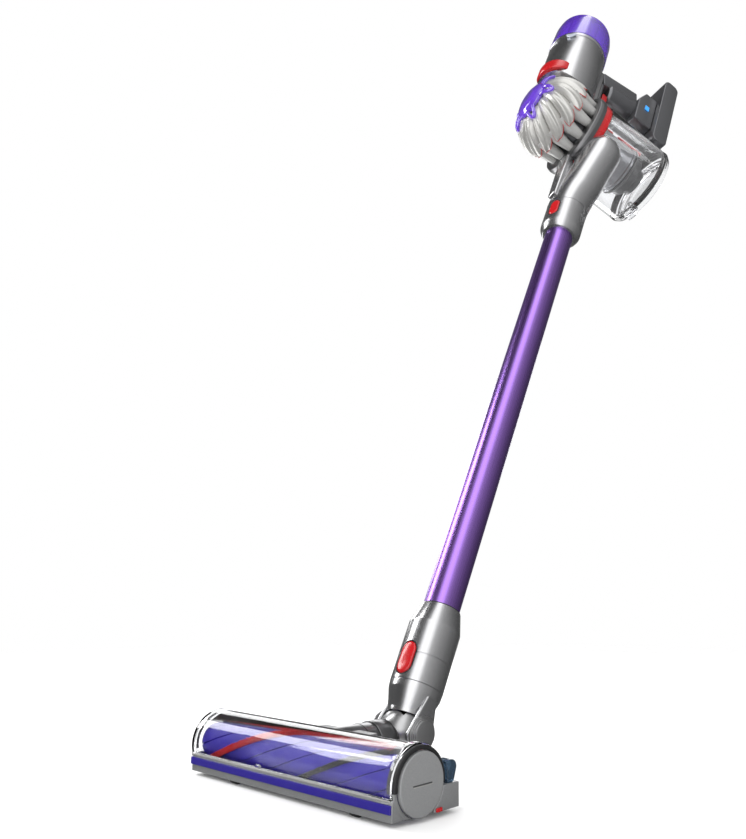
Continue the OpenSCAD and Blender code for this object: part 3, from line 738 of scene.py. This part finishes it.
def smooth_profile(path, t):
    """The place on a smooth curve through the points at t from 0 to 1, and the direction out of it."""
    s = t * (len(path) - 1)
    i = min(int(s), len(path) - 2)
    f = s - i
    a, b = Vector(path[i]), Vector(path[i + 1])
    before, after = Vector(path[max(i - 1, 0)]), Vector(path[min(i + 2, len(path) - 1)])
    leave, arrive = (b - before) / 2, (after - a) / 2
    place = (a * (2 * f ** 3 - 3 * f ** 2 + 1) + leave * (f ** 3 - 2 * f ** 2 + f)
             + b * (3 * f ** 2 - 2 * f ** 3) + arrive * (f ** 3 - f ** 2))
    ahead = (a * (6 * f * f - 6 * f) + leave * (3 * f * f - 4 * f + 1)
             + b * (6 * f - 6 * f * f) + arrive * (3 * f * f - 2 * f)).normalized()
    return place, Vector((ahead.y, -ahead.x))


def petals():
    """Fourteen leaves that swell out from the middle, turn and end in round lobes, and their rim."""
    per, rows = 24, 30
    n = CYCLONES * per
    path = [(21, -97), (27, -98.2), (34, -97), (41, -93.5), (47, -88), (52, -80), (55.4, -71), (56.9, -62),
            (56.9, -55), (56.2, -50)]
    points = []
    for j in range(rows + 1):
        for i in range(n):
            phase = (i % per) / per - 0.5
            edge = abs(phase) * 2
            t = j / rows * (1.0 - 0.30 * edge ** 2.6)
            place, out = smooth_profile(path, t)
            grow = min(1, t * 2.2)
            crease = -4.2 * grow * edge ** 4
            ridges = math.exp(-((phase - 0.20) / 0.115) ** 2) + 0.85 * math.exp(-((phase + 0.17) / 0.11) ** 2)
            curl = -1.2 * max(0, t - 0.88) / 0.12
            spot = place + out * (crease + 2.0 * grow * ridges + 1.4 * grow * phase - 2.1 * grow + curl)
            a = 2 * math.pi * (i / n) + math.radians(34) * t ** 1.25
            points.append((spot.y, spot.x * math.cos(a), spot.x * math.sin(a)))
    rim = points[-n:]
    # the skin turns in at the lobes' edges and closes against the inner wall
    for inset, back in ((2.2, -0.5), (2.6, -9)):
        for x, y, z in rim:
            k = 1 - inset / math.hypot(y, z)
            points.append((x + back, y * k, z * k))
    return (points, bands(rows + 3, n)), rim


def cyclones():
    shape, rim = petals()
    piece("cyclone_petals", shape, BIN, "pearl_plastic", "hand_unit", "cyclone_shroud", sharp=70)
    trim = [Vector((x + 0.35, y * 0.992, z * 0.992)) for x, y, z in rim]
    trim = swept(trim, 0.55, 6, closed=True, up=(1, 0, 0))
    piece("petal_trim_red", trim, BIN, "red_plastic", "hand_unit")
    cone = fillet([(0, -66.3, 0), (9.2, -66.3, 0.5), (8.6, -48, 0), (7.2, -40, 1), (5.8, -28.2, 0),
                   (0, -28.2, 0)], 1)
    cone = placed(revolved(cone, 40, "x"), Matrix.Translation((0, 0, 44)))
    cones = [placed(cone, Matrix.Rotation(a + math.radians(12), 4, "X")) for a in turns(CYCLONES)]
    piece("cyclone_cones_grey", joined(*cones), BIN, "cone_plastic", "hand_unit", "cyclone_cones")
    core = fillet([(30, -70), (38, -66), (38, -28.2), (30, -28.2)], 1)
    piece("cyclone_core", revolved(core, 96, "x"), BIN, "dark_plastic", "hand_unit")
    crown = fillet([(33.6, -28, 0.2), (52, -28.6, 1.5), (57.2, -27, 2), (CROWN_R, -22, 2), (58, -16.1, 0.4),
                    (33.6, -16.1, 0.2)], 1)
    piece("crown_lip", revolved(crown, 144, "x"), BIN, "shroud_metal", "hand_unit", "crown_ring")
    red = fillet([(33.6, -16), (55.3, -16, 0.4), (56.4, -11, 1.5), (55.6, -5.1, 0.4), (33.6, -5.1)], 0.3)
    piece("red_ring_gloss", revolved(red, 144, "x"), BIN, "red_plastic", "hand_unit", "red_ring")


def finger(angle):
    """A loop of round bar that leaves the dome, reaches over the petals and comes back."""
    out = Vector((0, math.cos(angle), math.sin(angle)))
    across = Vector((0, -math.sin(angle), math.cos(angle)))
    loop = []
    for s in [math.pi * (k / 28 - 0.5) for k in range(29)]:
        r = 24 + 18 * max(0, math.cos(s)) ** 0.75
        x = -101.8 + 0.045 * max(0, r - 29) ** 2
        loop.append(Vector((x, 0, 0)) + out * r + across * 6.0 * math.sin(s))
    return swept(loop, 2.5, 12, squash=0.9, up=(1, 0, 0))


def dome():
    """A clear violet button with six looped fingers."""
    body = fillet([(0, -110.4, 0), (14, -109.9, 3), (22.5, -107, 4), (27, -102.5, 2), (27.4, -98.6, 0.5),
                   (0, -98.6, 0)], 2)
    fingers = [finger(a + math.radians(15)) for a in turns(6)]
    button = joined(revolved(body, 96, "x"), *fingers)
    piece("dome_violet", button, BIN, "violet_tint", "prefilter", "prefilter_cap", sharp=60)
    seat = fillet([(0, -98.0, 0), (28, -98.0, 1), (28, -94, 1), (0, -94, 0)], 1)
    piece("dome_seat", revolved(seat, 96, "x"), BIN, "dark_plastic", "hand_unit")


MOTOR_R, RIM_Z = 41.6, 983                       # the housing and its upper end
LEVER_Z, LEVER_TOP = 886, 905.5


def crescent(start, end, swell, bite, seg=48):
    """The bin lever on the housing's wall: thickest in its middle and undercut below."""
    points = []
    for u in [j / seg for j in range(seg + 1)]:
        a = math.radians(start + (end - start) * u)
        k = math.sin(math.pi * u) ** 0.7
        out, low = MOTOR_R + 0.5 + swell * k, LEVER_Z + (1 - k) * bite
        ring = fillet([(MOTOR_R, low + 2), (out - 1.2, low + 1.0), (out, low + 3.4),
                       (out + 0.3, LEVER_TOP - 1.5), (out - 1.0, LEVER_TOP), (MOTOR_R, LEVER_TOP)], 0.8, 3)
        points += [(r * math.cos(a), r * math.sin(a), z) for r, z in ring]
    m = len(ring)
    return points, bands(seg + 1, m) + [tuple(range(m)), tuple(range(seg * m, (seg + 1) * m))]


def motor():
    softened("motor_housing", 0.8, sharp=34)
    rim = fillet([(MOTOR_R, 978.6), (42.3, 979.2), (42.3, 982.6), (MOTOR_R, RIM_Z), (39.5, RIM_Z),
                  (39.5, 978.6)], 0.3)
    piece("motor_rim", revolved(rim, 128), MOTOR, "silver_plastic", "hand_unit")
    filter_cap()
    lever = crescent(165, 238, 6.5, 4)
    piece("bin_lever_red", lever, MOTOR, "red_plastic", "bin_lever", "bin_lever")
    # the mode slider's tab comes to a point at its middle
    tab = fillet([(-7.2, 3.6), (7.2, 3.6), (7.2, 0.6), (0, -4.2), (-7.2, 0.6)], 1.2, 3)
    tab = slab(tab, 41.3, 43.4, 0.6)
    upright = Matrix(((0, 0, 1, 0), (1, 0, 0, 0), (0, 1, 0, 0), (0, 0, 0, 1)))
    turn = Matrix.Rotation(math.radians(222), 4, "Z") @ Matrix.Translation((0, 0, (RIM_Z - 9) * MM)) @ upright
    piece("mode_tab", tab, MOTOR @ turn, "slider_plastic", "mode_slider", "mode_slider")


def filter_cap():
    """The clear violet cap with its ribs, and the pleated filter that shows through it."""
    wall = fillet([(39.6, 983.4, 0), (42.7, 983.4, 0.4), (42.7, 988, 0.6), (42.0, 1024, 0), (40.2, 1035, 3),
                   (36.5, 1040, 3), (8, 1040, 0), (0, 1039.2, 0), (0, 1036.6, 0), (35, 1036.8, 2),
                   (38.6, 1033, 2), (39.6, 1022, 0)], 1)
    cap = revolved(wall, 128)
    piece("filter_cap_violet", cap, MOTOR, "violet_clear", "filter_cap", "filter_cap", sharp=50)
    rib = rbox((37.2, -0.6, 986), (39.4, 0.6, 1030), 0.3, 1)
    ribs = [placed(rib, Matrix.Rotation(a, 4, "Z")) for a in turns(12)]
    for z in (1026, 986):
        ribs.append(revolved(fillet([(36.4, z), (39.2, z), (39.2, z + 3), (36.4, z + 3)], 0.3), 96))
    piece("filter_cap_ribs", joined(*ribs), MOTOR, "violet_plastic", "filter_cap")
    folds = turns(160)
    radii = [31.0, 35.6] * (len(folds) // 2)
    pleats = slab([(r * math.cos(a), r * math.sin(a)) for r, a in zip(radii, folds)], 988, 1034, 0.2, steps=1)
    piece("post_filter_pleats", pleats, MOTOR, "filter_media", "filter_cap", "post_filter", sharp=10)
    plate = fillet([(0, 1034.1, 0), (30, 1034.1, 0.6), (30, 1035.6, 0.6), (12, 1035.6, 0.5),
                    (11, 1036.2, 0.4), (0, 1036.2, 0)], 0.5)
    piece("filter_end_plate", revolved(plate, 96), MOTOR, "violet_plastic", "filter_cap")


def bin_parts():
    """The clear bin with its rail, catch rod, hinge and lid."""
    inner_r = BIN_R - 2.3
    wall = fillet([(BIN_R, BIN_BACK), (BIN_R, BIN_FRONT), (inner_r, BIN_FRONT), (inner_r, BIN_BACK)], 0.5)
    piece("bin_clear", revolved(wall, 144, "x"), BIN, "clear", "hand_unit", "bin_wall")
    top = rbox((-4, -6, BIN_R + 5.8), (90, 6, BIN_R + 8), 0.6)
    back = rbox((-4, 3.8, BIN_R - 0.8), (90, 6, BIN_R + 6), 0.5)
    piece("bin_rail_clear", joined(top, back), BIN, "clear", "hand_unit")
    # the catch rod in the rail shows as two wide bars on a thin one
    bars = [rbox((x0, -5.6, BIN_R + 1.2), (x1, 3.1, BIN_R + 5.3), 0.6) for x0, x1 in ((-3.5, 38), (46, 82.6))]
    neck_bar = rbox((30, -1.4, BIN_R + 2.2), (50, 1.4, BIN_R + 4.4), 0.4)
    piece("catch_rod_red", joined(*bars, neck_bar), BIN, "red_plastic", "catch_rod", "catch_rod")
    for name, y in (("near", -12), ("far", 8)):
        strut = slab(round_rect(16, 7, 3.2, 90, -BIN_R - 1.5), y, y + 4, 0.5, "y")
        piece(f"bin_hinge_{name}", strut, BIN, "clear", "hand_unit")
    lid = fillet([(0, 105.4, 0), (40, 105.4, 1), (46, 103.4, 3), (52, 98, 2), (54.3, 92.4, 0.4),
                  (57.0, 92.4, 0.4), (57.4, 98, 2), (54, 103.8, 3), (47, 106.6, 2), (38, 107.2, 1),
                  (0, 107.2, 0)], 1)
    piece("bin_lid_clear", revolved(lid, 144, "x"), BIN, "clear", "bin_lid", "bin_lid")
    ear = slab(round_rect(13, 8, 3.6, 96, -BIN_R - 4), -7.4, 7.4, 0.6, "y")
    piece("lid_ear", ear, BIN, "clear", "bin_lid")
    seal = fillet([(54.0, 89.4), (54.0, 96), (51.4, 98), (49.2, 96), (49.2, 92), (51, 89.4)], 0.8)
    piece("lid_seal_dark", revolved(seal, 144, "x"), BIN, "black_rubber", "bin_lid", "lid_seal")
    ring = fillet([(46.2, 97.5), (46.2, 100.5), (43.6, 100.5), (43.6, 97.5)], 0.6)
    piece("lid_inner_ring", revolved(ring, 144, "x"), BIN, "silver_plastic", "bin_lid", slot="silver_plastic")


def shrouds():
    tube = fillet([(31, -3), (33, -3), (33, 8, 0), (32.4, 8.4, 0), (32.4, 9.2, 0), (33, 9.6, 0), (33, 55, 0),
                   (34.2, 56, 0.5), (34.2, 60, 0.6), (31, 60)], 0.4)
    piece("shroud_silver", revolved(tube, 128, "x"), BIN, "dark_plastic", "hand_unit", "mesh_shroud",
          slot=SLOT_OF["mesh_shroud"])
    skirt = fillet([(24, 60.1), (35.2, 60.1, 0.8), (35.2, 61.5, 0.8), (33, 64.5, 0.6), (29.6, 65.8, 0.5),
                    (29.0, 67, 0.5), (27.4, 76.5, 0.8), (20, 78.2, 0.6), (19.6, 79.5, 0.5), (18.4, 87.4, 1.2),
                    (15, 88, 0.4), (15, 76), (24, 72)], 0.4)
    piece("collar_dark", revolved(skirt, 128, "x"), BIN, "black_plastic", "hand_unit", "shroud_collar",
          slot=SLOT_OF["shroud_collar"])


BATTERY_X, BATTERY_Z = 95, 983                   # middle of the battery case


def handle():
    tilt = HAND @ Matrix.Translation((-14 * MM, 0, 963 * MM)) @ Matrix.Rotation(-math.atan2(17, 74), 4, "Y")
    tube = fillet([(0, 12, 0), (13.5, 12, 2), (16.6, 16, 3), (16.6, 58, 0), (15.8, 64, 2), (0, 64, 0)], 2)
    below = tilt @ Matrix.Translation((0, 0, -8 * MM))
    piece("grip_tube", revolved(tube, 96, "x"), below, "dark_plastic", "hand_unit", "grip")
    piece("grip_bar", rbox((0.5, -14.8, -5), (66, 14.8, 17.6), 2.2), tilt, "dark_plastic", "hand_unit")
    piece("grip_strap", rbox((-13.8, -12.6, 901), (-9.2, 12.6, 960), 1.5), HAND, "dark_plastic", "hand_unit")
    profile = fillet([(-5.4, 932.2), (2.4, 932.2, 2.5), (3.8, 940, 3), (2.4, 948.2, 2.5), (-5.4, 948.2)], 1.0)
    piece("trigger_red", slab(profile, -7.8, 7.8, 0.8, "y"), HAND, "red_plastic", "trigger", "trigger")
    block = fillet([(50, 937.4), (81.8, 937.4), (81.8, 1006.6), (60, 1006.6), (50, 985)], 3)
    block = slab(block, -18.8, 18.8, 1.6, "y")
    piece("battery_neck", block, HAND, "dark_plastic", "hand_unit", "battery_block")
    case = slab(round_rect(26, 146, 9, BATTERY_X, BATTERY_Z), -28.9, 28.9, 1.6, "y")
    piece("battery_shell", case, HAND, "dark_plastic", "hand_unit", "battery_case")
    seam = slab(round_rect(26.3, 146.3, 9.1, BATTERY_X, BATTERY_Z), 24.6, 25.0, 0.1, "y", 1)
    piece("battery_seam", seam, HAND, "black_rubber", "hand_unit")
    piece("battery_foot", rbox((80.5, -20, 906.5), (92, 20, 913), 2), HAND, "black_rubber", "hand_unit")


floor_head()
neck()
wand()
hand_front()
cyclones()
dome()
motor()
bin_parts()
shrouds()
handle()


# ---------------------------------------------------------------- camera, light and floor
def camera():
    """At the photograph's angle: turned 41 degrees about the object and looking up a little from low down."""
    data = bpy.data.cameras.new("camera")
    data.lens, data.sensor_width = 35.1, 36.0
    data.shift_x, data.shift_y = -0.093, 0.0248
    cam = bpy.data.objects.new("camera", data)
    bpy.context.collection.objects.link(cam)
    cam.location = (0.5286, -0.4502, 0.1562)
    cam.rotation_euler = (math.pi / 2 + 0.173, 0, 0.721)
    bpy.context.scene.camera = cam


def area(name, place, aim, size, power, mirrored=False):
    """A soft rectangular lamp; polished faces mirror it only if asked."""
    data = bpy.data.lights.new(name, "AREA")
    data.shape, data.size, data.size_y = "RECTANGLE", size[0], size[1]
    data.energy = power
    lamp = bpy.data.objects.new(name, data)
    bpy.context.collection.objects.link(lamp)
    lamp.location = place
    lamp.rotation_euler = (Vector(aim) - Vector(place)).to_track_quat("-Z", "Y").to_euler()
    lamp.visible_camera = False
    lamp.visible_glossy = mirrored


PANEL_POWER = 2.2


def studio_world():
    """A white room. Polished faces mirror its panels: bright at the front left, grey at the front right."""
    world = bpy.data.worlds.new("studio")
    world.use_nodes = True
    tree = world.node_tree
    back = tree.nodes["Background"]

    def node(kind, *inputs, **props):
        made = tree.nodes.new("ShaderNode" + kind)
        for k, v in props.items():
            setattr(made, k, v)
        for i, v in enumerate(inputs):
            if isinstance(v, bpy.types.NodeSocket):
                tree.links.new(v, made.inputs[i])
            elif v is not None:
                made.inputs[i].default_value = v
        return made

    way = tree.nodes.new("ShaderNodeTexCoord").outputs["Generated"]
    # the panels are long strips hung parallel to the wand, so a streak runs the whole length of it
    side = node("VectorMath", way, (0.709, 0.635, -0.308), operation="DOT_PRODUCT").outputs["Value"]
    front = node("VectorMath", way, (0.705, -0.612, 0.359), operation="DOT_PRODUCT").outputs["Value"]
    turn = node("Math", side, front, operation="ARCTAN2").outputs[0]
    t = node("MapRange", turn, -math.pi, math.pi, 0.0, 1.0).outputs[0]
    panels = node("ValToRGB", t)
    stops = ((0.0, 0.10), (0.08, 0.05), (0.20, 0.02), (0.34, 0.03), (0.385, 0.16), (0.41, 1.0), (0.485, 1.0),
             (0.52, 0.34), (0.60, 0.20), (0.72, 0.09), (0.86, 0.03), (1.0, 0.10))
    ramp = panels.color_ramp
    while len(ramp.elements) < len(stops):
        ramp.elements.new(0.5)
    for e, (at, v) in zip(ramp.elements, stops):
        e.position = at
    for e, (at, v) in zip(ramp.elements, stops):
        e.color = (v, v, v, 1)
    strips = node("VectorMath", panels.outputs["Color"], None, None, operation="SCALE")
    strips.inputs["Scale"].default_value = PANEL_POWER
    rays = tree.nodes.new("ShaderNodeLightPath").outputs
    seen = node("Math", rays["Is Glossy Ray"], rays["Is Transmission Ray"], operation="SUBTRACT",
                use_clamp=True).outputs[0]
    mixed = node("Mix", data_type="RGBA")
    sockets = [i for i in mixed.inputs if i.type == "RGBA"]
    tree.links.new(seen, mixed.inputs["Factor"])
    sockets[0].default_value = (1, 1, 1, 1)
    tree.links.new(strips.outputs[0], sockets[1])
    tree.links.new([o for o in mixed.outputs if o.type == "RGBA"][0], back.inputs["Color"])
    back.inputs["Strength"].default_value = 1.0
    bpy.context.scene.world = world


def stage():
    """A plain white floor under the object, the room and four lamps."""
    bm = bmesh.new()
    bmesh.ops.create_grid(bm, x_segments=4, y_segments=4, size=4)
    mesh = bpy.data.meshes.new("floor")
    bm.to_mesh(mesh)
    bm.free()
    floor = bpy.data.objects.new("floor", mesh)
    bpy.context.collection.objects.link(floor)
    floor.location.z = CAD_BOX[0].z
    n = Nodes("floor_white")
    patches = n.ramp(n.noise(30, 3), 0.3, 0.7, 0, 1)
    n.link(n.mix(patches, (0.90, 0.90, 0.90), (0.92, 0.92, 0.92)), "Base Color")
    n.set(Roughness=0.7)
    # the sheet thins out into the white room with distance, so that it has no edge
    far = n.node("VectorMath", {0: n.coord}, operation="LENGTH").outputs["Value"]
    n.link(n.ramp(far, 0.7, 1.6, 1, 0), "Alpha")
    floor.data.materials.append(n.mat)
    floor.visible_glossy = False       # the metal mirrors the panels alone
    studio_world()
    area("key", (0.1, -1.9, 1.4), (0, 0.2, 0.5), (0.5, 1.9), 22)
    area("rim", (2.0, 0.7, 0.9), (0, 0.3, 0.5), (0.4, 1.6), 10)
    area("over", (-1.35, -0.45, 1.15), (0, -0.02, 0.02), (0.45, 1.3), 16, True)
    area("behind", (-0.78, 0.74, 0.50), (0, -0.02, 0.03), (1.1, 0.34), 5, True)


bpy.context.scene.view_settings.view_transform = "Standard"
camera()
stage()
